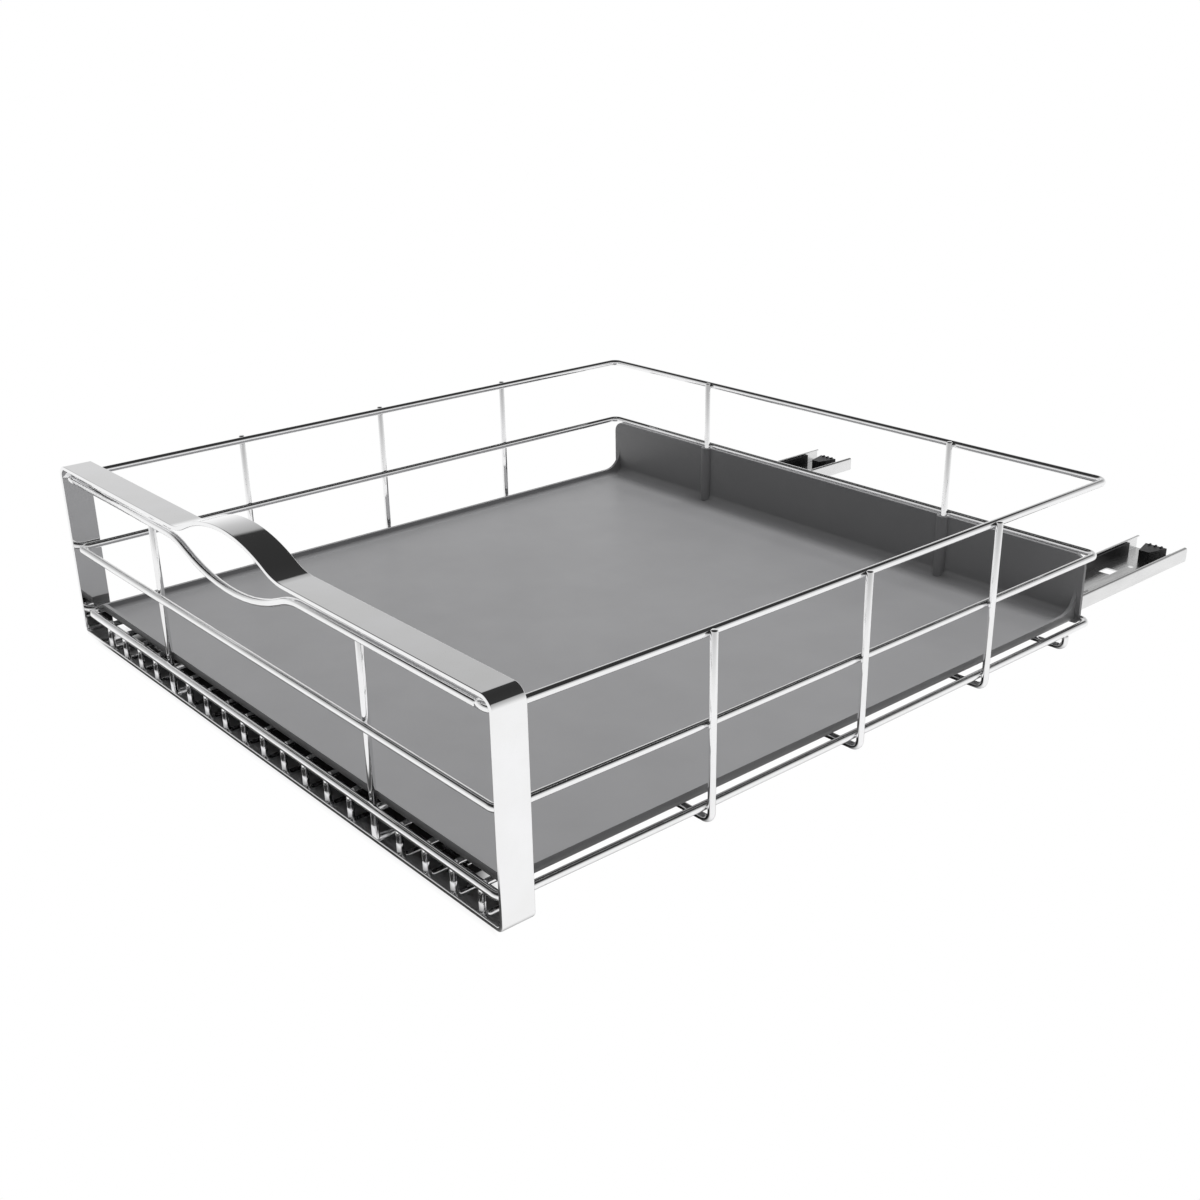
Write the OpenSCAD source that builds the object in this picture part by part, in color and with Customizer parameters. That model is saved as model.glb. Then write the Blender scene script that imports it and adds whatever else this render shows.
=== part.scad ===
// Pull out cabinet basket: a chromed wire basket with a flat front frame and an arched handle,
// lined with a moulded mat, riding on two full extension ball slides that lie on the cabinet floor.
// X runs across the basket, Y from its front to its back, Z up. Z = 0 is the cabinet floor.
// The basket is drawn partly pulled out, and Y = 0 is halfway along the whole unit in that place.

/* [Wire basket] */
// Width between the centres of the two side rails
basket_w = 499; // [440:1:620]
// Depth from the face of the front frame to the centre of the back rail
basket_d = 515; // [505:1:640]
// Diameter of the rails that go round the basket
rail_wire = 5; // [4:0.1:6]
// Diameter of the uprights and the hoops that cross under the floor
hoop_wire = 4.5; // [3.5:0.1:5]
// Diameter of the floor wires
floor_wire = 4; // [3:0.1:4.5]
// Height of the middle rail above the bottom rail
mid_rise = 49.4; // [40:0.1:60]
// Height of the top rail above the bottom rail
top_rise = 102.2; // [90:0.1:140]
// Centreline radius of the corners of the rails
rail_corner_r = 7; // [5:0.5:12]
// How far each side rail draws in to pass inside the front frame
draw_in = 1.5; // [1:0.1:4]
// Distance from the back rail to the rearmost cross hoop
rear_bay = 127; // [100:0.5:150]
// Spacing of the cross hoops
hoop_pitch = 123.5; // [100:0.5:125]
// Number of cross hoops
hoop_count = 3; // [2:1:3]
// Centreline radius of the bend at the foot of each hoop
hoop_bend_r = 5.5; // [4:0.5:9]
// Distance of the two lengthwise hoops from the middle
long_hoop_x = 125; // [100:25:150]
// Spacing of the floor wires
floor_pitch = 25; // [20:1:30]
// Margin kept between the outer floor wires and the side rails
floor_margin = 20; // [15:1:30]
// How far welded wires sink into each other
weld = 0.3; // [0.1:0.05:0.5]

/* [Front frame] */
// Depth of the flat strap, front to back
strap_d = 20.5; // [18:0.5:26]
// Thickness of the strap
strap_t = 2.7; // [2:0.1:3]
// Height of the bottom rail above the foot of the frame
strap_drop = 16.5; // [15:0.1:20]
// Gap between the top rail and the strap over it
strap_gap = 4.2; // [3:0.1:8]
// Outer radius of the top corners
strap_top_r = 9; // [6:0.5:14]
// Outer radius of the bottom corners
strap_foot_r = 5; // [4:0.5:8]
// Setback of the front wires behind the face of the frame
front_inset = 4; // [3:0.1:7]

/* [Handle] */
// Place of the handle's middle across the front
handle_x = -8; // [-40:1:40]
// Height that the strap arches up at the handle
arch_rise = 15.6; // [12:0.1:22]
// Steepest slope of the arch, in degrees
arch_slope = 25; // [22:1:30]
// Length of the arch's straight flanks, between its crown and its shoulders
arch_flank = 1; // [0.5:0.5:8]
// Radius of the shoulders of the arch
arch_shoulder_r = 45; // [30:1:60]
// Depth that the front wire dips under the handle
dip_drop = 16.3; // [12:0.1:20]
// Steepest slope of the dip, in degrees
dip_slope = 22; // [20:1:30]
// Length of the dip's straight flanks
dip_flank = 2; // [1:0.5:8]
// Radius of the shoulders of the dip
dip_shoulder_r = 57; // [30:1:60]

/* [Liner] */
// Thickness of the liner
liner_t = 2.5; // [1.5:0.1:3]
// Height of the rim round the front and sides
rim_h = 8.5; // [5:0.1:12]
// Distance from the side rails' centres to the sides of the liner
liner_side_gap = 8.5; // [5:0.1:12]
// Distance from the side rails' centres to the ends of the back wall
wall_side_gap = 5; // [3:0.1:8]
// Gap between the liner and the wires it stands next to
liner_gap = 0.4; // [0.2:0.1:1]
// Gap between the liner and the floor wires under it
liner_lift = 0.1; // [0.05:0.05:0.5]
// Drop from the centre of the middle rail to the top of the back wall
wall_drop = 1; // [0:0.1:5]
// Radius of the top corners of the back wall
wall_corner_r = 9; // [4:0.5:15]
// Radius of the fillets that run up to the ends of the back wall
cheek_r = 16; // [10:0.5:24]
// Radius of the fillet between the floor and the back wall
floor_fillet_r = 7; // [4:0.5:10]
// Radius of the fillet along the inside of the rims
rim_fillet_r = 3; // [1:0.1:4]

/* [Slides] */
// Length of the cabinet member
slide_l = 500; // [460:1:560]
// Width of the cabinet member
slide_w = 45.7; // [44:0.1:48]
// Height of the closed slide
slide_h = 12.7; // [12.5:0.1:14]
// Thickness of the cabinet member
outer_t = 1.2; // [1:0.05:1.3]
// Thickness of the middle member
mid_t = 1.1; // [0.9:0.05:1.2]
// Thickness of the drawer member
inner_t = 1.2; // [1:0.05:1.3]
// Distance from each side rail's centre to the middle of its slide
slide_inset = 71.5; // [60:0.5:100]
// Diameter of the balls
ball_d = 3.9; // [3.6:0.05:4]
// Play between a ball and the faces it rolls on
ball_play = 0.05; // [0.03:0.01:0.1]
// Height of the ball centres above the cabinet floor
ball_z = 6.6; // [6.4:0.1:7]
// Spacing of the balls in a cage
ball_pitch = 22; // [16:1:30]
// Length of a ball cage
cage_l = 230; // [200:1:235]
// Thickness of a ball cage
cage_t = 0.5; // [0.4:0.05:0.6]
// How much shorter the middle and drawer members are than the cabinet member
member_short = 28; // [27:1:40]
// Distance of the cage's front behind the slide's front when shut
cage_start = 120; // [118:1:125]
// Radius of the screw holes in the cabinet member
screw_hole_r = 2.25; // [2:0.05:2.75]
// Distance of the front screw hole from the front of the slide
front_hole = 35; // [30:1:60]
// Distance of the rear screw hole from the rear of the slide
rear_hole = 45; // [42:1:60]
// Width of the latch hole
latch_w = 10; // [6:0.5:12]
// Length of the latch hole
latch_l = 12; // [8:0.5:16]
// Gap between the latch hole and the rear screw hole's centre
latch_gap = 16; // [12:0.5:24]

/* [Bumpers and carriers] */
// Length of the rear bumper
bumper_l = 19; // [14:1:19]
// Width of the bumper at its rear
bumper_w = 19; // [14:0.5:24]
// Width of the bumper at its front
bumper_nose_w = 9; // [6:0.5:14]
// Height of the bumper
bumper_h = 9; // [7:0.5:10]
// Gap between the bumper and the rear of the slide
bumper_inset = 8; // [5:0.5:8]
// Length of the strips that stop the ball cages
race_strip_l = 122; // [90:1:125]
// Gap between the strips and the rear of the slide
race_strip_inset = 18; // [12:1:24]
// Width of a carrier channel
carrier_w = 20; // [16:0.5:22]
// Height of a carrier channel
carrier_h = 4.8; // [4.5:0.1:8]
// Thickness of a carrier channel
carrier_t = 1.5; // [1.2:0.1:2]
// Gap between each end of a carrier and the end of its drawer member
carrier_inset = 24; // [15:1:30]
// Shank radius of the carrier screws
carrier_screw_r = 1.95; // [1.5:0.05:2.2]
// Number of screws in each carrier
carrier_screws = 3; // [2:1:4]

/* [Travel] */
// How far the basket is pulled out as drawn
pull_rest = 218; // [200:1:240]
// Setback of the slides behind the front frame
slide_setback = 24; // [22:0.5:24]

/* [Hidden] */
$fn = 48;

chrome = "gainsboro";
zinc = "silver";
steel = "lightgrey";
mat_grey = "dimgray";
black = [0.08, 0.08, 0.08];

// Radii of the wires
rail_r = rail_wire / 2;
hoop_r = hoop_wire / 2;
floor_r = floor_wire / 2;

// Length of the middle and drawer members
member_l = slide_l - member_short;

// Places along Y
half_run = (pull_rest + slide_setback + slide_l) / 2;
front_y = -half_run;                       // face of the front frame
back_y = front_y + basket_d;               // centre of the back rails
front_wire_y = front_y + front_inset;      // centre of the front wires
cabinet_y = half_run - slide_l;            // front of the cabinet members
drawer_y = front_y + slide_setback;        // front of the drawer members
middle_y = (cabinet_y + drawer_y) / 2;     // front of the middle members

// Heights, from the cabinet floor up
carrier_top = slide_h + carrier_h;
cross_z = carrier_top - weld + hoop_r;
floor_z = cross_z + hoop_r + floor_r - weld;
floor_top = floor_z + floor_r;
long_z = floor_top - hoop_r;
bottom_z = floor_top - weld + rail_r;
mid_z = bottom_z + mid_rise;
top_z = bottom_z + top_rise;
strap_foot = bottom_z - strap_drop;
strap_top = top_z + rail_r + strap_gap + strap_t;

// Places across X
side_x = basket_w / 2;
frame_x = side_x - draw_in;                // side rails inside the front frame
hoop_x = side_x + rail_r + hoop_r - weld;  // uprights stand outside the side rails
inner_face_x = frame_x + rail_r - weld;    // inner face of the front frame
strap_x = inner_face_x + strap_t / 2;
upright_in = rail_r + hoop_r - weld;       // long hoops stand inside the front and back rails

// Crown radius of an arch whose flanks run straight between its crown and its shoulders,
// and the half width of the bent line that it follows
function crown_r(rise, slope, flank, shoulder_r) =
    (rise - flank * sin(slope)) / (1 - cos(slope)) - shoulder_r;
function arch_half(rise, slope, flank, shoulder_r) =
    crown_r(rise, slope, flank, shoulder_r) * sin(slope) + (flank + shoulder_r * tan(slope / 2)) * cos(slope);

// Direction of the line from a to b, and the turn between two directions
function heading(a, b) = atan2(b[1] - a[1], b[0] - a[0]);
function wrap(a) = a > 180 ? a - 360 : a <= -180 ? a + 360 : a;
function turn_at(p, i) = let (n = len(p))
    wrap(heading(p[i], p[(i + 1) % n]) - heading(p[(i + n - 1) % n], p[i]));
function setback_at(p, b, i) = b[i] * tan(abs(turn_at(p, i)) / 2);

// Start and centre of a bend
function bend_start(p, b, i) = let (enter = heading(p[(i + len(p) - 1) % len(p)], p[i]))
    p[i] - setback_at(p, b, i) * [cos(enter), sin(enter)];
function bend_centre(p, b, i) = let (enter = heading(p[(i + len(p) - 1) % len(p)], p[i]))
    bend_start(p, b, i) + sign(turn_at(p, i)) * b[i] * [-sin(enter), cos(enter)];

// A bend meets the straight runs beside it in a collar, a hair thicker than the wire,
// which bridges a hair of a gap on each side of the joint. A row of fine wires does without.
collar = 0.02;
collar_l = 0.6;
collar_gap = 0.05;

module joint_collar(at, angle, d) {
    translate([at[0], at[1], 0]) rotate([0, 0, angle]) rotate([0, 90, 0])
        cylinder(h = collar_l, d = d + 2 * collar, center = true);
}

// A wire bent in the XY plane along the points p, with centreline bend radii b
module bent_wire(p, b, d, closed = false, collared = true) {
    n = len(p);
    gap = collared ? collar_gap : 0;
    for (i = [0 : closed ? n - 1 : n - 2]) {
        j = (i + 1) % n;
        from = closed || i > 0 ? setback_at(p, b, i) + gap : 0;
        to = closed || j < n - 1 ? setback_at(p, b, j) + gap : 0;
        translate([p[i][0], p[i][1], 0]) rotate([0, 0, heading(p[i], p[j])]) translate([from, 0, 0])
            rotate([0, 90, 0]) cylinder(h = norm(p[j] - p[i]) - from - to, d = d);
    }
    for (i = [closed ? 0 : 1 : closed ? n - 1 : n - 2]) {
        turn = turn_at(p, i);
        enter = heading(p[(i + n - 1) % n], p[i]);
        leave = enter + turn;
        if (b[i] > 0) {
            centre = bend_centre(p, b, i);
            trim = gap / b[i] * 180 / PI;
            translate([centre[0], centre[1], 0]) rotate([0, 0, (turn > 0 ? enter - 90 : leave + 90) + trim])
                rotate_extrude(angle = abs(turn) - 2 * trim) translate([b[i], 0]) circle(d = d);
        }
        if (collared) joint_collar(bend_start(p, b, i), enter, d);
        if (collared && b[i] > 0)
            joint_collar(p[i] + setback_at(p, b, i) * [cos(leave), sin(leave)], leave, d);
    }
}

// Outline at a distance to the right of a closed bent line, with its bends in short steps
step_angle = 4;
function outline(p, b, off) = [for (i = [0 : len(p) - 1])
    let (turn = turn_at(p, i), side = sign(turn), r = b[i] + side * off, c = bend_centre(p, b, i),
         enter = heading(p[(i + len(p) - 1) % len(p)], p[i]), n = ceil(abs(turn) / step_angle))
    for (k = [0 : n]) let (h = enter + turn * k / n) c + side * r * [sin(h), -cos(h)]];

// Stands a plane drawing up: its Y becomes Z, and its X stays X or becomes Y
module upright_x() { rotate([90, 0, 0]) children(); }
module upright_y() { rotate([90, 0, 90]) children(); }

// Outline of a rail seen from above, from one front corner round the back to the other
first_hoop_y = back_y - rear_bay - (hoop_count - 1) * hoop_pitch;
rail_points = [
    [-frame_x, front_wire_y], [-frame_x, front_y + strap_d], [-side_x, first_hoop_y], [-side_x, back_y],
    [side_x, back_y], [side_x, first_hoop_y], [frame_x, front_y + strap_d], [frame_x, front_wire_y]
];
rail_bends = [rail_corner_r, 0, 0, rail_corner_r, rail_corner_r, 0, 0, rail_corner_r];

module closed_rail(z) {
    translate([0, 0, z]) bent_wire(rail_points, rail_bends, rail_wire, closed = true);
}

// Flat front frame, with the arch of the handle in its top
module front_frame() {
    low = strap_foot + strap_t / 2;
    high = strap_top - strap_t / 2;
    half = arch_half(arch_rise, arch_slope, arch_flank, arch_shoulder_r);
    peak = high + half * tan(arch_slope);
    points = [[-strap_x, low], [strap_x, low], [strap_x, high], [handle_x + half, high],
              [handle_x, peak], [handle_x - half, high], [-strap_x, high]];
    foot_r = strap_foot_r - strap_t / 2;
    top_r = strap_top_r - strap_t / 2;
    arch_top_r = crown_r(arch_rise, arch_slope, arch_flank, arch_shoulder_r);
    bends = [foot_r, foot_r, top_r, arch_shoulder_r, arch_top_r, arch_shoulder_r, top_r];
    color(chrome) translate([0, front_y + strap_d, 0]) upright_x() linear_extrude(height = strap_d)
        difference() {
            polygon(outline(points, bends, strap_t / 2));
            polygon(outline(points, bends, -strap_t / 2));
        }
}

// Where the top rail's front corners meet the wire that dips under the handle
end_x = frame_x - rail_corner_r - rail_wire;

// Top rail: the sides and the back, with both front corners
module top_rail() {
    points = concat([[-end_x, front_wire_y]], rail_points, [[end_x, front_wire_y]]);
    color(chrome) translate([0, 0, top_z])
        bent_wire(points, concat([0], rail_bends, [0]), rail_wire);
}

// Front of the top rail, dipping under the handle
module handle_wire() {
    half = arch_half(dip_drop, dip_slope, dip_flank, dip_shoulder_r);
    points = [[-end_x, 0], [handle_x - half, 0], [handle_x, -half * tan(dip_slope)],
              [handle_x + half, 0], [end_x, 0]];
    dip_foot_r = crown_r(dip_drop, dip_slope, dip_flank, dip_shoulder_r);
    bends = [0, dip_shoulder_r, dip_foot_r, dip_shoulder_r, 0];
    color(chrome) translate([0, front_wire_y, top_z]) upright_x() bent_wire(points, bends, rail_wire);
}

module mid_rail() { color(chrome) closed_rail(mid_z); }

module bottom_rail() { color(chrome) closed_rail(bottom_z); }

// Hoop number n from the front: two uprights and the wire that crosses under the floor
module cross_hoop(n) {
    points = [[-hoop_x, top_z + rail_r], [-hoop_x, cross_z], [hoop_x, cross_z], [hoop_x, top_z + rail_r]];
    color(chrome) translate([0, first_hoop_y + (n - 1) * hoop_pitch, 0]) upright_x()
        bent_wire(points, [0, hoop_bend_r, hoop_bend_r, 0], hoop_wire);
}

// Low wire across the back, hung from the bottom rail just over the slides
rear_wire_y = drawer_y + member_l - hoop_wire * 2;
rear_wire_z = slide_h + 1 + hoop_r;
module rear_cross_wire() {
    top = bottom_z - rail_r + weld;
    points = [[-side_x, top], [-side_x, rear_wire_z], [side_x, rear_wire_z], [side_x, top]];
    color(chrome) translate([0, rear_wire_y, 0]) upright_x()
        bent_wire(points, [0, hoop_bend_r, hoop_bend_r, 0], hoop_wire);
}

// Lengthwise hoop: front upright, floor run and back upright
module long_hoop(x) {
    front = front_wire_y + upright_in;
    rear = back_y - upright_in;
    foot = strap_foot + strap_t - weld;
    color(chrome) translate([x, 0, 0]) {
        translate([0, front, foot]) cylinder(h = top_z - foot, d = hoop_wire);
        upright_y() bent_wire([[front, long_z], [rear, long_z], [rear, top_z + rail_r]],
                             [0, hoop_bend_r, 0], hoop_wire);
    }
}

// Floor wires, hooked down onto the foot of the front frame
floor_count = floor((side_x - floor_margin) / floor_pitch);
module floor_wires() {
    front = front_wire_y + rail_r + floor_r - weld;
    foot = strap_foot + strap_t - weld;
    color(chrome) for (i = [-floor_count : floor_count]) {
        x = i * floor_pitch;
        if (abs(abs(x) - long_hoop_x) > floor_wire + hoop_wire)
            translate([x, 0, 0]) upright_y()
                bent_wire([[front, foot], [front, floor_z], [back_y + rail_r / 2, floor_z]],
                         [0, floor_wire, 0], floor_wire, collared = false);
    }
}

// Moulded liner: a tray with a low rim and a tall back wall
liner_z = floor_top + liner_lift;
liner_x = side_x - liner_side_gap;
wall_x = side_x - wall_side_gap;
liner_front = front_wire_y + upright_in + hoop_r + liner_gap;
liner_back = back_y - rail_r - liner_gap;
wall_top = mid_z - wall_drop;
tray_r = rim_fillet_r + liner_t;           // radius of the tray's outer bottom edges
groove_r = hoop_r + liner_gap;
groove_y = back_y - upright_in;

// A quarter round fillet in the corner of the X and Y axes
module fillet_2d(r) {
    difference() {
        square([r, r]);
        translate([r, r]) circle(r = r);
    }
}

// Back wall seen from the front: round at its top ends, and round where it runs down to the tray
foot_r = max(wall_x - liner_x, 0.5);
module back_wall_2d() {
    h = wall_top - liner_z;
    translate([-wall_x, foot_r]) square([2 * wall_x, h - foot_r - wall_corner_r]);
    translate([-wall_x + foot_r, 0]) square([2 * (wall_x - foot_r), foot_r]);
    translate([-wall_x + wall_corner_r, h - wall_corner_r])
        square([2 * (wall_x - wall_corner_r), wall_corner_r]);
    for (side = [-1, 1]) {
        translate([side * (wall_x - foot_r), foot_r]) circle(r = foot_r);
        translate([side * (wall_x - wall_corner_r), h - wall_corner_r]) circle(r = wall_corner_r);
    }
}

module liner() {
    run = liner_back - liner_front;
    color(mat_grey) difference() {
        union() {
            translate([-liner_x, liner_front, liner_z]) cube([2 * liner_x, run, liner_t]);
            translate([-liner_x, liner_front, liner_z]) cube([2 * liner_x, liner_t, rim_h]);
            translate([-liner_x, liner_front + liner_t, liner_z + liner_t]) upright_y()
                linear_extrude(height = 2 * liner_x) fillet_2d(rim_fillet_r);
            for (side = [0, 1]) mirror([side, 0, 0]) {
                translate([-liner_x, liner_front, liner_z]) cube([liner_t, run, rim_h]);
                // Fillet along the inside of the rim
                translate([-liner_x + liner_t, liner_back, liner_z + liner_t]) upright_x()
                    linear_extrude(height = run) fillet_2d(rim_fillet_r);
                // Cheek that runs up to the end of the back wall
                translate([-liner_x, liner_back - liner_t, liner_z + rim_h]) upright_y()
                    linear_extrude(height = liner_t) mirror([1, 0]) fillet_2d(cheek_r);
            }
            translate([0, liner_back, liner_z]) upright_x() linear_extrude(height = liner_t)
                back_wall_2d();
            translate([-liner_x, liner_back - liner_t, liner_z + liner_t]) upright_y()
                linear_extrude(height = 2 * liner_x) mirror([1, 0]) fillet_2d(floor_fillet_r);
            for (side = [-1, 1]) translate([side * long_hoop_x, groove_y, liner_z])
                cylinder(h = wall_top - liner_z, r = groove_r + liner_t);
        }
        // Round bottom edges of the tray
        translate([-liner_x - 1, liner_front, liner_z]) upright_y()
            linear_extrude(height = 2 * liner_x + 2) fillet_2d(tray_r);
        for (side = [0, 1]) mirror([side, 0, 0])
            translate([-liner_x, liner_back - liner_t, liner_z]) upright_x()
                linear_extrude(height = run) fillet_2d(tray_r);
        liner_grooves();
    }
}

// Grooves that the back uprights stand in, with room for the bends at their feet
module liner_grooves() {
    bend_reach = hoop_bend_r - sqrt(pow(hoop_bend_r - hoop_r, 2) - pow(hoop_bend_r - groove_r, 2));
    below = liner_z - 1;
    h = wall_top - below + 1;
    for (side = [-1, 1]) translate([side * long_hoop_x, groove_y, below]) {
        cylinder(h = h, r = groove_r);
        translate([-groove_r, 0, 0]) cube([2 * groove_r, liner_back - groove_y + 1, h]);
        translate([-groove_r, -hoop_bend_r, 0])
            cube([2 * groove_r, hoop_bend_r, long_z + bend_reach + liner_gap - below]);
    }
    // Trims the round backs of the grooves flush with the wall
    translate([-wall_x, liner_back, below]) cube([2 * wall_x, groove_r + liner_t + 1, h]);
}

// Sections of the slide members, across X and up Z, from the cabinet floor
outer_x = slide_w / 2;
ball_gap = ball_d + 2 * ball_play;
outer_ball_x = outer_x - outer_t - ball_gap / 2;
middle_x = outer_x - outer_t - ball_gap;          // outer face of the middle member
inner_ball_x = middle_x - mid_t - ball_gap / 2;
drawer_x = middle_x - mid_t - ball_gap;           // outer face of the drawer member
web_gap = 1;                                      // space between stacked webs, for a cage
middle_web = outer_t + web_gap;
drawer_foot = middle_web + mid_t + web_gap;
lip = 1.6;                                        // width of the lips that keep the balls in
middle_top = slide_h - inner_t - 0.5;
outer_top = slide_h - 0.5;

// Outline of a channel, from its right half h
function both_halves(h) = concat(h, [for (i = [len(h) - 1 : -1 : 0]) [-h[i][0], h[i][1]]]);
function lipped(x, foot, top, t) = both_halves([
    [x, foot], [x, top], [x - t - lip, top], [x - t - lip, top - t], [x - t, top - t], [x - t, foot + t]]);

module cabinet_section() { polygon(lipped(outer_x, 0, outer_top, outer_t)); }

module middle_section() { polygon(lipped(middle_x, middle_web, middle_top, mid_t)); }

module drawer_section() {
    polygon(both_halves([[drawer_x, slide_h], [drawer_x, drawer_foot], [drawer_x - inner_t, drawer_foot],
                         [drawer_x - inner_t, slide_h - inner_t]]));
}

// Runs a section along Y from y for length l
module member(x, y, l) {
    translate([x, y + l, 0]) rotate([90, 0, 0]) linear_extrude(height = l) children();
}

slide_x = side_x - slide_inset;
rear_y = cabinet_y + slide_l;

module cabinet_member(x) {
    color(zinc) difference() {
        member(x, cabinet_y, slide_l) cabinet_section();
        for (y = [cabinet_y + front_hole, rear_y - rear_hole])
            translate([x, y, -1]) cylinder(h = outer_t + 2, r = screw_hole_r);
        // Latch hole in front of the rear screw hole
        translate([x - latch_w - screw_hole_r, rear_y - rear_hole - latch_gap - latch_l, -1])
            cube([latch_w, latch_l, outer_t + 2]);
    }
}

module middle_member(x) {
    color(zinc) member(x, middle_y, member_l) middle_section();
}

// Places of the carrier screws along Y
carrier_y = drawer_y + carrier_inset;
carrier_l = member_l - 2 * carrier_inset;
function carrier_screw_y(i) = carrier_y + carrier_inset
    + i * (carrier_l - 2 * carrier_inset) / (carrier_screws - 1);

module drawer_member(x) {
    color(zinc) difference() {
        member(x, drawer_y, member_l) drawer_section();
        for (i = [0 : carrier_screws - 1])
            translate([x, carrier_screw_y(i), slide_h - inner_t - 1])
                cylinder(h = inner_t + 2, r = carrier_screw_r + 0.05);
    }
}

// Channel that is screwed to the drawer member and carries the cross hoops
module carrier(x) {
    color(steel) difference() {
        translate([x - carrier_w / 2, carrier_y, slide_h]) cube([carrier_w, carrier_l, carrier_h]);
        translate([x - carrier_w / 2 + carrier_t, carrier_y - 1, slide_h + carrier_t])
            cube([carrier_w - 2 * carrier_t, carrier_l + 2, carrier_h]);
        for (i = [0 : carrier_screws - 1]) translate([x, carrier_screw_y(i), slide_h - 1])
            cylinder(h = carrier_t + 2, r = carrier_screw_r + 0.2);
    }
}

module carrier_screw_set(x) {
    head_r = carrier_screw_r * 1.8;
    slot_w = carrier_screw_r * 0.4;
    slot_l = head_r * 1.4;
    shank = carrier_t + inner_t + slot_w;
    color(zinc) for (i = [0 : carrier_screws - 1])
        translate([x, carrier_screw_y(i), slide_h + carrier_t]) difference() {
            union() {
                cylinder(h = carrier_screw_r, r = head_r);
                translate([0, 0, -shank]) cylinder(h = shank, r = carrier_screw_r);
            }
            for (a = [0, 90]) rotate([0, 0, a])
                translate([-slot_l / 2, -slot_w / 2, carrier_screw_r - slot_w])
                    cube([slot_l, slot_w, 2 * slot_w]);
        }
}

// Plastic bumper at the rear of the cabinet member, narrower at its front
module rear_bumper(x) {
    front = rear_y - bumper_inset - bumper_l;
    ribs = 3;
    color(black) translate([x, front, outer_t]) {
        linear_extrude(height = bumper_h)
            polygon([[-bumper_nose_w / 2, 0], [bumper_nose_w / 2, 0],
                     [bumper_w / 2, bumper_l], [-bumper_w / 2, bumper_l]]);
        for (i = [0 : ribs - 1]) translate([(i - (ribs - 1) / 2) * bumper_w / ribs * 0.8, bumper_l - 2.5, bumper_h])
            rotate([-90, 0, 0]) cylinder(h = 2.5, r = 1);
    }
}

// Strips in the two races that stop the ball cage
module race_strip_pair(x) {
    strip_w = ball_gap - 2 * 0.4;
    to = rear_y - race_strip_inset;
    color(black) for (side = [-1, 1])
        translate([x + side * outer_ball_x - strip_w / 2, to - race_strip_l, outer_t])
            cube([strip_w, race_strip_l, outer_top - 2 * outer_t - 0.4]);
}

// Ball cage: a thin channel with a row of holes in each side
ball_count = floor((cage_l - ball_pitch) / ball_pitch) + 1;
function ball_y(i) = cage_l / 2 + (i - (ball_count - 1) / 2) * ball_pitch;

module cage(x, y, row_x, foot) {
    web_z = foot - web_gap / 2 - cage_t / 2;
    color(steel) translate([x, y, 0]) difference() {
        union() {
            translate([-row_x - cage_t / 2, 0, web_z]) cube([2 * row_x + cage_t, cage_l, cage_t]);
            for (side = [-1, 1]) translate([side * row_x - cage_t / 2, 0, web_z])
                cube([cage_t, cage_l, ball_z + ball_d / 2 + 0.8 - web_z]);
        }
        for (i = [0 : ball_count - 1])
            translate([-row_x - 2, ball_y(i), ball_z]) rotate([0, 90, 0])
                cylinder(h = 2 * row_x + 4, r = ball_d / 2 + 0.15);
    }
}

module ball_rows(x, y, row_x) {
    color(steel) for (side = [-1, 1], i = [0 : ball_count - 1])
        translate([x + side * row_x, y + ball_y(i), ball_z]) sphere(d = ball_d);
}

// Cages follow at a quarter and three quarters of the drawer member's travel
cage_home = cabinet_y + cage_start;
outer_cage_y = cage_home - pull_rest / 4;
inner_cage_y = cage_home - pull_rest * 3 / 4;

front_frame();
top_rail();
handle_wire();
mid_rail();
bottom_rail();
cross_hoop(1);  // cross_hoop_1
cross_hoop(2);  // cross_hoop_2
cross_hoop(3);  // cross_hoop_3
rear_cross_wire();
long_hoop(-long_hoop_x);  // long_hoop_left
long_hoop(long_hoop_x);  // long_hoop_right
floor_wires();
liner();
carrier(-slide_x);  // carrier_left
carrier(slide_x);  // carrier_right
carrier_screw_set(-slide_x);  // carrier_screws_left
carrier_screw_set(slide_x);  // carrier_screws_right
drawer_member(-slide_x);  // drawer_member_left
drawer_member(slide_x);  // drawer_member_right
middle_member(-slide_x);  // middle_member_left
middle_member(slide_x);  // middle_member_right
cabinet_member(-slide_x);  // cabinet_member_left
cabinet_member(slide_x);  // cabinet_member_right
rear_bumper(-slide_x);  // rear_bumper_left
rear_bumper(slide_x);  // rear_bumper_right
race_strip_pair(-slide_x);  // race_strips_left
race_strip_pair(slide_x);  // race_strips_right
cage(-slide_x, outer_cage_y, outer_ball_x, middle_web);  // outer_cage_left
cage(slide_x, outer_cage_y, outer_ball_x, middle_web);  // outer_cage_right
ball_rows(-slide_x, outer_cage_y, outer_ball_x);  // outer_balls_left
ball_rows(slide_x, outer_cage_y, outer_ball_x);  // outer_balls_right
cage(-slide_x, inner_cage_y, inner_ball_x, drawer_foot);  // inner_cage_left
cage(slide_x, inner_cage_y, inner_ball_x, drawer_foot);  // inner_cage_right
ball_rows(-slide_x, inner_cage_y, inner_ball_x);  // inner_balls_left
ball_rows(slide_x, inner_cage_y, inner_ball_x);  // inner_balls_right
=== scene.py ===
"""Dresses the pull out cabinet basket: chromed wires and front frame, moulded liner and ball slides."""
import logging
import math
from dataclasses import dataclass
from enum import Enum
from typing import Callable, Iterable, Sequence

import bmesh
import bpy
from mathutils import Matrix, Vector


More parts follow.
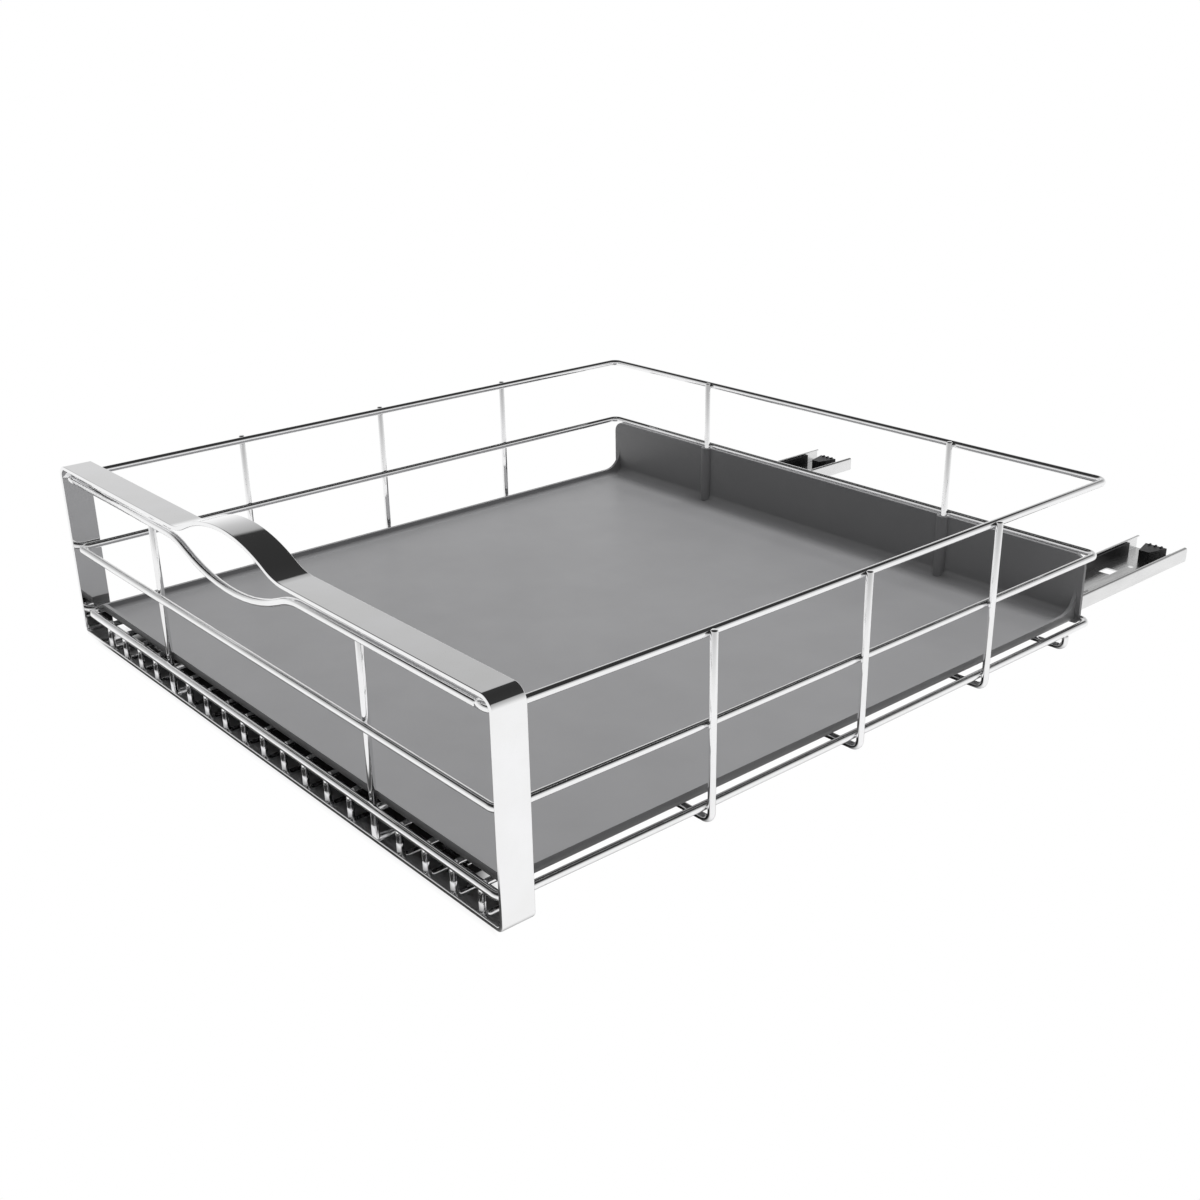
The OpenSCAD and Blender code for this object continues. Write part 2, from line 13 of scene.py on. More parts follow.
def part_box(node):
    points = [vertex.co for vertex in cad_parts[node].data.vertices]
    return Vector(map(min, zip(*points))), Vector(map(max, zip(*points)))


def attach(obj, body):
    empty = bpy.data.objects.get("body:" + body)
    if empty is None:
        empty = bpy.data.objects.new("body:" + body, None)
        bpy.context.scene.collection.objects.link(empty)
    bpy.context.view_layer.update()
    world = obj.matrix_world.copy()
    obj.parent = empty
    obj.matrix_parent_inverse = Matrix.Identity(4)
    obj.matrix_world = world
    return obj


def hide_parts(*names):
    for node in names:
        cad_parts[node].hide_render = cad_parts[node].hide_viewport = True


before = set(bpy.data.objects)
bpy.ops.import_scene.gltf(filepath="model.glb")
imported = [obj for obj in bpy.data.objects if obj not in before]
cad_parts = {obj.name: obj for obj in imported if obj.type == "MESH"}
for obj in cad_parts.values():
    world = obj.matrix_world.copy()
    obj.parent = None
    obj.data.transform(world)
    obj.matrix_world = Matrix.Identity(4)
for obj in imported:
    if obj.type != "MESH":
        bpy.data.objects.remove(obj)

LOG = logging.getLogger("basket")
Place = tuple[float, float]
Sample = tuple[Vector, Vector]
Socket = bpy.types.NodeSocket
MM_PER_M = 1000
NOISE_SPREAD = (0.3, 0.7)
BAR_END_EASE = 0.25


class Body(Enum):
    """The bodies that pieces built here ride on."""

    BASKET = "basket"
    CABINET = "cabinet_slides"
    MIDDLE = "middle"

    def on(self, side: "Side") -> str:
        """The body's name on one side."""
        return self.value if self in (Body.BASKET, Body.CABINET) else f"{self.value}_{side.value}"


class Side(Enum):
    """Left and right, seen from the front."""

    LEFT = "left"
    RIGHT = "right"


# ---------------------------------------------------------------- finishes


def add_node(tree: bpy.types.NodeTree, kind: str, **inputs: object) -> bpy.types.Node:
    """Adds a node to a tree and sets its inputs.

    Args:
        tree: The node tree.
        kind: The node's type name.
        inputs: Values for its sockets, with underscores for spaces.

    Returns:
        The node.
    """
    node = tree.nodes.new(kind)
    for key, value in inputs.items():
        node.inputs[key.replace("_", " ")].default_value = value
    return node


class NodeSheet:
    """A material's node tree, with short calls that add and join nodes."""

    def __init__(self, name: str) -> None:
        """Starts a material with a shader and object coordinates.

        Args:
            name: The material's name.
        """
        self.material = bpy.data.materials.new(name)
        self.material.use_nodes = True
        self.tree = self.material.node_tree
        self.shader = self.tree.nodes["Principled BSDF"]
        self.place = self.add("ShaderNodeTexCoord").outputs["Object"]

    def add(self, kind: str, **inputs: object) -> bpy.types.Node:
        """Adds a node to this material, as add_node does."""
        return add_node(self.tree, kind, **inputs)

    def join(self, a: Socket, b: Socket) -> None:
        """Links one socket to another."""
        self.tree.links.new(a, b)

    def noise(
            self, scale: float, stretch: tuple[float, float, float] = (1, 1, 1), detail: float = 3) -> Socket:
        """Noise over the object.

        Args:
            scale: Grains per metre.
            stretch: Factors on that along X, Y and Z.
            detail: Octaves of finer grain.

        Returns:
            The noise value's socket.
        """
        mapping = self.add("ShaderNodeMapping", Scale=stretch)
        self.join(self.place, mapping.inputs["Vector"])
        node = self.add("ShaderNodeTexNoise", Scale=scale, Detail=detail)
        self.join(mapping.outputs["Vector"], node.inputs["Vector"])
        return node.outputs["Fac"]

    def between(self, value: Socket, low: float, high: float) -> Socket:
        """Spreads a noise value over a range.

        Args:
            value: The noise socket.
            low: Result where the noise is low.
            high: Result where the noise is high.

        Returns:
            The result's socket.
        """
        least, most = NOISE_SPREAD
        node = self.add("ShaderNodeMapRange", From_Min=least, From_Max=most, To_Min=low, To_Max=high)
        self.join(value, node.inputs["Value"])
        return node.outputs["Result"]

    def blend(self, value: Socket, low: tuple[float, ...], high: tuple[float, ...]) -> Socket:
        """A colour between two, by a noise value.

        Args:
            value: The noise socket.
            low: Colour where the noise is low.
            high: Colour where the noise is high.

        Returns:
            The colour's socket.
        """
        node = self.add("ShaderNodeValToRGB")
        ramp = node.color_ramp
        ramp.elements[0].position, ramp.elements[1].position = NOISE_SPREAD
        ramp.elements[0].color, ramp.elements[1].color = (*low, 1), (*high, 1)
        self.join(value, node.inputs["Fac"])
        return node.outputs["Color"]

    def bump(self, value: Socket, strength: float, depth: float) -> None:
        """Raises the surface by a noise value.

        Args:
            value: The noise socket.
            strength: How strongly the bump shows.
            depth: Height of the bump in metres.
        """
        node = self.add("ShaderNodeBump", Strength=strength, Distance=depth)
        self.join(value, node.inputs["Height"])
        self.join(node.outputs["Normal"], self.shader.inputs["Normal"])


@dataclass(frozen=True)
class PolishedPlate:
    """Bright plated metal, with a faint ripple in its polish."""

    name: str
    tone: float
    roughness: float
    ripple: float = 0.003
    ripple_depth: float = 0.0002
    ripples: float = 120
    clouds: float = 40
    cloud_tone: float = 0.96
    scuffs: float = 300
    scuff_range: Place = (0.7, 1.5)

    def material(self) -> bpy.types.Material:
        """Builds the node material."""
        sheet = NodeSheet(self.name)
        shader = sheet.shader
        shader.inputs["Metallic"].default_value = 1.0
        dull = (self.tone * self.cloud_tone,) * 3
        bright = (self.tone, self.tone, self.tone * 1.01)
        sheet.join(sheet.blend(sheet.noise(self.clouds), dull, bright), shader.inputs["Base Color"])
        low, high = (self.roughness * share for share in self.scuff_range)
        rough = sheet.between(sheet.noise(self.scuffs), low, high)
        sheet.join(rough, shader.inputs["Roughness"])
        sheet.bump(sheet.noise(self.ripples), self.ripple, self.ripple_depth)
        return sheet.material


@dataclass(frozen=True)
class DrawnSteel:
    """Zinc plated or bare sheet steel, with fine lines along its length."""

    name: str
    tone: float
    roughness: float
    streak: float = 0.06
    streak_depth: float = 0.0001
    streaks: float = 900
    streak_range: Place = (0.8, 1.3)
    clouds: float = 60
    cloud_tone: float = 0.85

    def material(self) -> bpy.types.Material:
        """Builds the node material."""
        sheet = NodeSheet(self.name)
        shader = sheet.shader
        shader.inputs["Metallic"].default_value = 1.0
        lines = sheet.noise(self.streaks, (1, 0.02, 1), 4)
        clouds = sheet.noise(self.clouds, (1, 0.3, 1))
        dull = (self.tone * self.cloud_tone,) * 3
        sheet.join(sheet.blend(clouds, dull, (self.tone,) * 3), shader.inputs["Base Color"])
        low, high = (self.roughness * share for share in self.streak_range)
        sheet.join(sheet.between(lines, low, high), shader.inputs["Roughness"])
        sheet.bump(lines, self.streak, self.streak_depth)
        return sheet.material


@dataclass(frozen=True)
class MouldedSurface:
    """Moulded rubber or plastic with a fine grain."""

    name: str
    colour: tuple[float, float, float]
    roughness: float
    gloss: float
    grain: float
    grain_strength: float = 0.25
    grain_depth: float = 0.00015
    uneven: float = 0.03
    clouds: float = 25
    patches: float = 60

    def material(self) -> bpy.types.Material:
        """Builds the node material."""
        sheet = NodeSheet(self.name)
        shader = sheet.shader
        shader.inputs["IOR"].default_value = self.gloss
        less, more = 1 - self.uneven, 1 + self.uneven
        low, high = (tuple(c * share for c in self.colour) for share in (less, more))
        sheet.join(sheet.blend(sheet.noise(self.clouds), low, high), shader.inputs["Base Color"])
        rough = sheet.between(sheet.noise(self.patches), self.roughness * less, self.roughness * more)
        sheet.join(rough, shader.inputs["Roughness"])
        sheet.bump(sheet.noise(self.grain, detail=2), self.grain_strength, self.grain_depth)
        return sheet.material


Finish = PolishedPlate | DrawnSteel | MouldedSurface


FRAME_CHROME = PolishedPlate("frame_chrome", 0.9, 0.05)
WIRE_CHROME = PolishedPlate("wire_chrome", 0.9, 0.07)
BALL_STEEL = PolishedPlate("ball_steel", 0.8, 0.08)
SLIDE_ZINC = DrawnSteel("slide_zinc", 0.82, 0.22)
CARRIER_STEEL = DrawnSteel("carrier_steel", 0.72, 0.35)
SCREW_STEEL = DrawnSteel("screw_steel", 0.7, 0.3)
CAGE_STEEL = DrawnSteel("cage_steel", 0.35, 0.35)
LINER_RUBBER = MouldedSurface("liner_rubber", (0.22, 0.22, 0.225), 0.4, 1.5, 1600)
BUMPER_PLASTIC = MouldedSurface("bumper_plastic", (0.012, 0.012, 0.013), 0.4, 1.5, 2200)


class Paintbox:
    """Makes each finish's material once and dresses pieces and nodes with it."""

    def __init__(self) -> None:
        """Starts empty."""
        self.made: dict[str, bpy.types.Material] = {}

    def dress(self, piece: bpy.types.Object, finish: Finish) -> None:
        """Gives a piece one finish all over.

        Args:
            piece: The object to dress.
            finish: The finish it takes.
        """
        if finish.name not in self.made:
            self.made[finish.name] = finish.material()
        piece.data.materials.clear()
        piece.data.materials.append(self.made[finish.name])


PAINT = Paintbox()

# ---------------------------------------------------------------- mesh tools


def bent_line(
        points: Sequence[Vector], radii: Sequence[float], closed: bool = False,
        step: float = 4.0) -> list[Sample]:
    """Centreline of a bar bent at each of its corners.

    Args:
        points: The corners, in metres.
        radii: Bend radius at each corner, or 0 for a plain kink.
        closed: Whether the last corner joins the first.
        step: Largest turn between samples, in degrees.

    Returns:
        Places and directions along the line.
    """
    out: list[Sample] = []
    n = len(points)
    for i, point in enumerate(points):
        if not closed and i in (0, n - 1):
            along = (points[1] - point) if i == 0 else (point - points[i - 1])
            out.append((point.copy(), along.normalized()))
            continue
        enter = (point - points[i - 1]).normalized()
        leave = (points[(i + 1) % n] - point).normalized()
        turn = enter.angle(leave)
        if radii[i] == 0 or turn < 1e-4:
            out.append((point.copy(), (enter + leave).normalized()))
            continue
        start = point - enter * radii[i] * math.tan(turn / 2)
        inward = (leave - enter * enter.dot(leave)).normalized()
        centre = start + inward * radii[i]
        count = max(2, math.ceil(math.degrees(turn) / step))
        for k in range(count + 1):
            c, s = math.cos(turn * k / count), math.sin(turn * k / count)
            out.append((centre + (enter * s - inward * c) * radii[i], enter * c + inward * s))
    return out


def new_piece(
        name: str, verts: Iterable[Vector], faces: Iterable[Sequence[int]],
        smooth: bool = True) -> bpy.types.Object:
    """Makes a mesh object from points and faces.

    Args:
        name: The piece's name.
        verts: Its points, in metres.
        faces: Its faces, as point numbers.
        smooth: Whether its faces shade smoothly.

    Returns:
        The object, linked into the scene.
    """
    mesh = bpy.data.meshes.new(name)
    mesh.from_pydata([tuple(v) for v in verts], [], [tuple(f) for f in faces])
    bm = bmesh.new()
    bm.from_mesh(mesh)
    bmesh.ops.remove_doubles(bm, verts=bm.verts, dist=1e-7)
    bmesh.ops.recalc_face_normals(bm, faces=bm.faces)
    for face in bm.faces:
        face.smooth = smooth
    bm.to_mesh(mesh)
    bm.free()
    piece = bpy.data.objects.new(name, mesh)
    bpy.context.scene.collection.objects.link(piece)
    return piece


@dataclass
class Sweep:
    """Points and faces of sections drawn along bent lines, gathered into one mesh."""

    verts: list[Vector]
    faces: list[tuple[int, ...]]

    @classmethod
    def empty(cls) -> "Sweep":
        """A sweep with nothing in it."""
        return cls([], [])

    def rings(self, rings: Sequence[Sequence[Vector]], closed: bool) -> None:
        """Joins rings of points with quads, and caps the ends of an open row of them.

        Args:
            rings: Rings of equal length.
            closed: Whether the last ring joins the first.
        """
        base, size = len(self.verts), len(rings[0])
        for ring in rings:
            self.verts.extend(ring)
        for i in range(len(rings) if closed else len(rings) - 1):
            a, b = base + i * size, base + ((i + 1) % len(rings)) * size
            for k in range(size):
                m = (k + 1) % size
                self.faces.append((a + k, a + m, b + m, b + k))
        if not closed:
            self.faces.append(tuple(range(base + size - 1, base - 1, -1)))
            last = base + (len(rings) - 1) * size
            self.faces.append(tuple(range(last, last + size)))

    def tube(
            self, line: Sequence[Sample], radius: float, across: Vector, closed: bool = False,
            sides: int = 20) -> None:
        """Adds a round bar, with eased ends, along a line that lies in one plane.

        Args:
            line: Places and directions along it.
            radius: The bar's radius.
            across: The plane's normal.
            closed: Whether the bar is a ring.
            sides: Points round the bar.
        """
        across = across.normalized()
        rings = [[at + (across * math.cos(t) + way.cross(across) * math.sin(t)) * radius
                  for t in (math.tau * k / sides for k in range(sides))] for at, way in line]
        if not closed:
            soft, small = radius * BAR_END_EASE, 1 - BAR_END_EASE
            (start, out), (end, on) = line[0], line[-1]
            rings[0] = [v + out * soft for v in rings[0]]
            rings[-1] = [v - on * soft for v in rings[-1]]
            rings.insert(0, [start + (v - start - out * soft) * small for v in rings[0]])
            rings.append([end + (v - end + on * soft) * small for v in rings[-1]])
        self.rings(rings, closed)

    def section(
            self, line: Sequence[Sample], outline: Sequence[Place], across: Vector,
            closed: bool = False) -> None:
        """Adds a bar of any section along a line that lies in one plane.

        Args:
            line: Places and directions along it.
            outline: The section, as distances in the plane and along its normal.
            across: The plane's normal.
            closed: Whether the bar is a ring.
        """
        across = across.normalized()
        self.rings([[at + way.cross(across) * a + across * b for a, b in outline] for at, way in line], closed)

    def piece(self, name: str) -> bpy.types.Object:
        """Makes the object."""
        return new_piece(name, self.verts, self.faces)


def rounded_outline(
        corners: Sequence[Place], radii: Sequence[float], step: float = 22.5) -> list[Place]:
    """A closed outline with its corners rounded.

    Args:
        corners: The corners, in order.
        radii: The radius at each.
        step: Largest turn between points, in degrees.

    Returns:
        The outline's points.
    """
    line = bent_line([Vector((a, b, 0)) for a, b in corners], radii, True, step)
    return [(at.x, at.y) for at, _ in line]


def extrude_y(name: str, outline: Sequence[Place], y0: float, y1: float) -> bpy.types.Object:
    """A bar along Y.

    Args:
        name: The piece's name.
        outline: Its section across X and Z.
        y0: Where it starts.
        y1: Where it ends.

    Returns:
        The object.
    """
    sweep = Sweep.empty()
    sweep.rings([[Vector((x, y, z)) for x, z in outline] for y in (y0, y1)], False)
    return sweep.piece(name)


def cut_holes(piece: bpy.types.Object, cutters: Sequence[bpy.types.Object]) -> None:
    """Cuts each cutter out of a piece and throws the cutters away.

    Args:
        piece: The piece to cut.
        cutters: Closed meshes to take from it.
    """
    for cutter in cutters:
        change = piece.modifiers.new("cut", "BOOLEAN")
        change.operation, change.solver, change.object = "DIFFERENCE", "EXACT", cutter
        bpy.context.view_layer.update()
        shaped = bpy.data.meshes.new_from_object(piece.evaluated_get(bpy.context.evaluated_depsgraph_get()))
        piece.modifiers.remove(change)
        piece.data = shaped
        bpy.data.objects.remove(cutter)


def soften(piece: bpy.types.Object, width: float, angle: float = 40.0, segments: int = 2) -> None:
    """Rounds a piece's sharp edges and keeps its flats flat in the shading.

    Args:
        piece: The piece.
        width: Width of the rounding, or 0 for the shading alone.
        angle: Least angle of an edge that counts as sharp, in degrees.
        segments: Steps across the rounding.
    """
    for face in piece.data.polygons:
        face.use_smooth = True
    if width:
        bevel = piece.modifiers.new("edge", "BEVEL")
        bevel.width, bevel.segments, bevel.limit_method = width, segments, "ANGLE"
        bevel.angle_limit = math.radians(angle)
        bevel.use_clamp_overlap = True
    else:
        marks = piece.data.attributes
        sharp = marks.get("sharp_edge") or marks.new("sharp_edge", "BOOLEAN", "EDGE")
        bm = bmesh.new()
        bm.from_mesh(piece.data)
        flags = [len(e.link_faces) == 2 and e.calc_face_angle() > math.radians(angle) for e in bm.edges]
        bm.free()
        sharp.data.foreach_set("value", flags)
    even = piece.modifiers.new("even", "WEIGHTED_NORMAL")
    even.keep_sharp = True


def finish_piece(piece: bpy.types.Object, body: str, finish: Finish, *nodes: str) -> None:
    """Dresses a piece, sets it on its body and hides the CAD nodes that it stands for.

    Args:
        piece: The piece.
        body: The body that it rides on.
        finish: Its finish.
        nodes: The CAD nodes that it stands for.
    """
    PAINT.dress(piece, finish)
    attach(piece, body)
    if nodes:
        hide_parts(*nodes)
    LOG.info("%s: %d points on %s", piece.name, len(piece.data.vertices), body)


def dress_node(node: str, finish: Finish, width: float = 0.0, angle: float = 40.0) -> None:
    """Keeps a CAD node, with a finish and soft edges.

    Args:
        node: The node's name.
        finish: Its finish.
        width: Width of its rounded edges.
        angle: Least angle of an edge that counts as sharp, in degrees.
    """
    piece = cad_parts[node]
    PAINT.dress(piece, finish)
    if width:
        soften(piece, width, angle)
    LOG.info("%s: kept", node)


# ---------------------------------------------------------------- layout


@dataclass(frozen=True)
class Layout:
    """Places that the pieces share, read from the CAD nodes' boxes."""

    front_y: float
    front_wire_y: float
    back_y: float
    side_x: float
    frame_x: float
    top_z: float
    mid_z: float
    bottom_z: float
    strap_foot: float
    strap_top: float
    strap_x: float
    strap_d: float
    first_hoop_y: float
    rail_r: float = 0.0025
    hoop_r: float = 0.00225
    floor_r: float = 0.002
    corner_r: float = 0.007
    strap_t: float = 0.0027
    arch_rise: float = 0.0156
    draw_in: float = 0.0015
    handle_x: float = -0.008

    @classmethod
    def measure(cls) -> "Layout":
        """Reads the boxes of the nodes."""
        strap_lo, strap_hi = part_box("front_frame")
        top_lo, top_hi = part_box("top_rail")
        mid_lo, mid_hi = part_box("mid_rail")
        bot_lo, bot_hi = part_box("bottom_rail")
        wire_lo, wire_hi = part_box("handle_wire")
        hoop_lo, hoop_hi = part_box("cross_hoop_1")
        side_x = top_hi[0] - cls.rail_r
        return cls(
            front_y=strap_lo[1], front_wire_y=(wire_lo[1] + wire_hi[1]) / 2, back_y=top_hi[1] - cls.rail_r,
            side_x=side_x, frame_x=side_x - cls.draw_in, top_z=(top_lo[2] + top_hi[2]) / 2,
            mid_z=(mid_lo[2] + mid_hi[2]) / 2, bottom_z=(bot_lo[2] + bot_hi[2]) / 2, strap_foot=strap_lo[2],
            strap_top=strap_hi[2] - cls.arch_rise, strap_x=strap_hi[0] - cls.strap_t / 2,
            strap_d=strap_hi[1] - strap_lo[1], first_hoop_y=(hoop_lo[1] + hoop_hi[1]) / 2)


@dataclass(frozen=True)
class Arch:
    """A bent line that rises or dips in the middle, with straight flanks between its arcs."""

    rise: float
    slope: float
    flank: float
    shoulder_r: float

    @property
    def crown_r(self) -> float:
        """Centreline radius of the crown."""
        a = math.radians(self.slope)
        return (self.rise - self.flank * math.sin(a)) / (1 - math.cos(a)) - self.shoulder_r

    @property
    def half(self) -> float:
        """Half width of the bent line's corners."""
        a = math.radians(self.slope)
        return self.crown_r * math.sin(a) + (self.flank + self.shoulder_r * math.tan(a / 2)) * math.cos(a)

    def corners(self, middle: float, level: float, way: int = 1) -> list[Place]:
        """The line's three corners, from left to right.

        Args:
            middle: Place of its crown.
            level: Height of the line beside it.
            way: 1 where it rises, -1 where it dips.

        Returns:
            The corners as places across and up.
        """
        peak = level + way * self.half * math.tan(math.radians(self.slope))
        return [(middle - self.half, level), (middle, peak), (middle + self.half, level)]

    def radii(self) -> list[float]:
        """Bend radius at each of the three corners."""
        return [self.shoulder_r, self.crown_r, self.shoulder_r]


# ---------------------------------------------------------------- basket


@dataclass
class FrontFrame:
    """The flat strap round the front, with the arch of the handle."""

    layout: Layout
    top_r: float = 0.009
    foot_r: float = 0.005
    edge_r: float = 0.0006
    arch_slope: float = 25.0
    arch_flank: float = 0.001
    arch_shoulder_r: float = 0.045
    turn_step: float = 2.5

    def build(self) -> None:
        """Builds the strap as one ring with eased edges."""
        lay = self.layout
        t = lay.strap_t
        low, high = lay.strap_foot + t / 2, lay.strap_top - t / 2
        y = lay.front_y + lay.strap_d / 2
        x = lay.strap_x
        arch = Arch(lay.arch_rise, self.arch_slope, self.arch_flank, self.arch_shoulder_r)
        outline = [(-x, low), (x, low), (x, high), *reversed(arch.corners(lay.handle_x, high)), (-x, high)]
        corners = [Vector((a, y, b)) for a, b in outline]
        foot, top = self.foot_r - t / 2, self.top_r - t / 2
        radii = [foot, foot, top, *arch.radii(), top]
        line = bent_line(corners, radii, True, self.turn_step)
        a, b, e = t / 2, lay.strap_d / 2, self.edge_r
        section = rounded_outline([(-a, -b), (a, -b), (a, b), (-a, b)], [e] * 4)
        sweep = Sweep.empty()
        sweep.section(line, section, Vector((0, 1, 0)), True)
        piece = sweep.piece("front_strap")
        piece.modifiers.new("even", "WEIGHTED_NORMAL")
        finish_piece(piece, Body.BASKET.value, FRAME_CHROME, "front_frame")


@dataclass
class WireWork:
    """The rails, hoops and floor wires."""

    layout: Layout
    hoop_bend_r: float = 0.0055
    long_x: float = 0.125
    pitch: float = 0.025
    count: int = 9
    long_gap: float = 0.008
    rail_sides: int = 24
    floor_sides: int = 16
    dip: Arch = Arch(0.0163, 22.0, 0.002, 0.057)

    def save(self, sweep: Sweep, name: str, node: str) -> None:
        """Makes a wire's piece, which stands for its node."""
        finish_piece(sweep.piece(name), Body.BASKET.value, WIRE_CHROME, node)

    def rail_corners(self, z: float) -> list[Vector]:
        """Corners of a rail from its front left round the back to its front right."""
        lay = self.layout
        f, s = lay.frame_x, lay.side_x
        y0, y1, y2, y3 = lay.front_wire_y, lay.front_y + lay.strap_d, lay.first_hoop_y, lay.back_y
        half = [(-f, y0), (-f, y1), (-s, y2), (-s, y3)]
        return [Vector((x, y, z)) for x, y in half] + [Vector((-x, y, z)) for x, y in reversed(half)]

    def build_rails(self) -> None:
        """Builds the three rails and the wire that dips under the handle."""
        lay = self.layout
        c = lay.corner_r
        radii = [c, 0, 0, c, c, 0, 0, c]
        up = Vector((0, 0, 1))
        for node, z in (("mid_rail", lay.mid_z), ("bottom_rail", lay.bottom_z)):
            sweep = Sweep.empty()
            sweep.tube(bent_line(self.rail_corners(z), radii, True), lay.rail_r, up, True, self.rail_sides)
            self.save(sweep, f"{node}_wire", node)
        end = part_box("handle_wire")[1][0]
        y = lay.front_wire_y
        corners = [Vector((-end, y, lay.top_z)), *self.rail_corners(lay.top_z), Vector((end, y, lay.top_z))]
        sweep = Sweep.empty()
        sweep.tube(bent_line(corners, [0, *radii, 0]), lay.rail_r, up, False, self.rail_sides)
        self.save(sweep, "top_rail_wire", "top_rail")
        points = [(-end, lay.top_z), *self.dip.corners(lay.handle_x, lay.top_z, -1), (end, lay.top_z)]
        line = bent_line([Vector((x, y, z)) for x, z in points], [0, *self.dip.radii(), 0])
        sweep = Sweep.empty()
        sweep.tube(line, lay.rail_r, Vector((0, 1, 0)), False, self.rail_sides)
        self.save(sweep, "dipped_front_wire", "handle_wire")

    def build_hoops(self) -> None:
        """Builds the hoops that cross under the floor and the two that run lengthwise."""
        lay = self.layout
        bend = self.hoop_bend_r
        for node in ("cross_hoop_1", "cross_hoop_2", "cross_hoop_3", "rear_cross_wire"):
            lo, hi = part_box(node)
            x, y = hi[0] - lay.hoop_r, (lo[1] + hi[1]) / 2
            foot, top = lo[2] + lay.hoop_r, hi[2]
            corners = [Vector((a, y, b)) for a, b in ((-x, top), (-x, foot), (x, foot), (x, top))]
            sweep = Sweep.empty()
            sweep.tube(bent_line(corners, [0, bend, bend, 0]), lay.hoop_r, Vector((0, 1, 0)))
            self.save(sweep, f"{node}_wire", node)
        for side in Side:
            node = f"long_hoop_{side.value}"
            lo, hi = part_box(node)
            x = (lo[0] + hi[0]) / 2
            front, rear = lo[1] + lay.hoop_r, hi[1] - lay.hoop_r
            floor_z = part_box("floor_wires")[1][2] - lay.hoop_r
            upright = [Vector((x, front, lo[2])), Vector((x, front, lay.top_z))]
            run = [Vector((x, front, floor_z)), Vector((x, rear, floor_z)), Vector((x, rear, hi[2]))]
            sweep = Sweep.empty()
            sweep.tube(bent_line(upright, [0, 0]), lay.hoop_r, Vector((1, 0, 0)))
            sweep.tube(bent_line(run, [0, bend, 0]), lay.hoop_r, Vector((1, 0, 0)))
            self.save(sweep, f"{node}_wire", node)

    def build_floor(self) -> None:
        """Builds the hooked floor wires."""
        lay = self.layout
        lo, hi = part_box("floor_wires")
        front, floor_z = lo[1] + lay.floor_r, hi[2] - lay.floor_r
        sweep = Sweep.empty()
        for i in range(-self.count, self.count + 1):
            x = i * self.pitch
            if abs(abs(x) - self.long_x) > self.long_gap:
                corners = [Vector((x, y, z)) for y, z in ((front, lo[2]), (front, floor_z), (hi[1], floor_z))]
                line = bent_line(corners, [0, 2 * lay.floor_r, 0])
                sweep.tube(line, lay.floor_r, Vector((1, 0, 0)), False, self.floor_sides)
        self.save(sweep, "floor_wire_row", "floor_wires")

    def build(self) -> None:
        """Builds all the wires."""
        self.build_rails()
        self.build_hoops()
        self.build_floor()


@dataclass
class Liner:
    """The moulded liner in the basket."""

    edge: float = 0.0009
    edge_angle: float = 35.0

    def build(self) -> None:
        """Dresses the liner's node and eases its edges."""
        dress_node("liner", LINER_RUBBER, self.edge, self.edge_angle)


# ---------------------------------------------------------------- slides


@dataclass
class SlideMember:
    """One rolled channel of a slide."""

    node: str
    body: str
    thickness: float
    lip: float
    upside_down: bool = False
    bend_r: float = 0.0016
    edge_r: float = 0.0003
    lip_r: float = 0.0004
    least_r: float = 0.0002
    crease: float = 25.0

    def outline(self) -> list[Place]:
        """The channel's section with rounded bends."""
        lo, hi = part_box(self.node)
        x, w = (lo[0] + hi[0]) / 2, (hi[0] - lo[0]) / 2
        foot, top, t, r = lo[2], hi[2], self.thickness, self.bend_r
        inner, lip = w - t, w - t - self.lip
        if self.upside_down:
            e = self.edge_r
            half = [((w, top), r), ((w, foot), e), ((inner, foot), e),
                    ((inner, top - t), r - t if r > t else self.least_r)]
        else:
            e = self.lip_r
            half = [((w, foot), r), ((w, top), r), ((lip, top), e), ((lip, top - t), e),
                    ((inner, top - t), e), ((inner, foot + t), e)]
        points = [p for p, _ in half] + [(-p[0], p[1]) for p, _ in reversed(half)]
        radii = [q for _, q in half] + [q for _, q in reversed(half)]
        return [(x + a, b) for a, b in rounded_outline(points, radii)]

    def build(self, holes: Callable[[], list[bpy.types.Object]] | None = None) -> None:
        """Builds the channel.

        Args:
            holes: Makes the cutters for its holes, if it has any.
        """
        lo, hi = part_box(self.node)
        piece = extrude_y(f"{self.node}_channel", self.outline(), lo[1], hi[1])
        if holes:
            cut_holes(piece, holes())
        soften(piece, 0.0, self.crease)
        finish_piece(piece, self.body, SLIDE_ZINC, self.node)


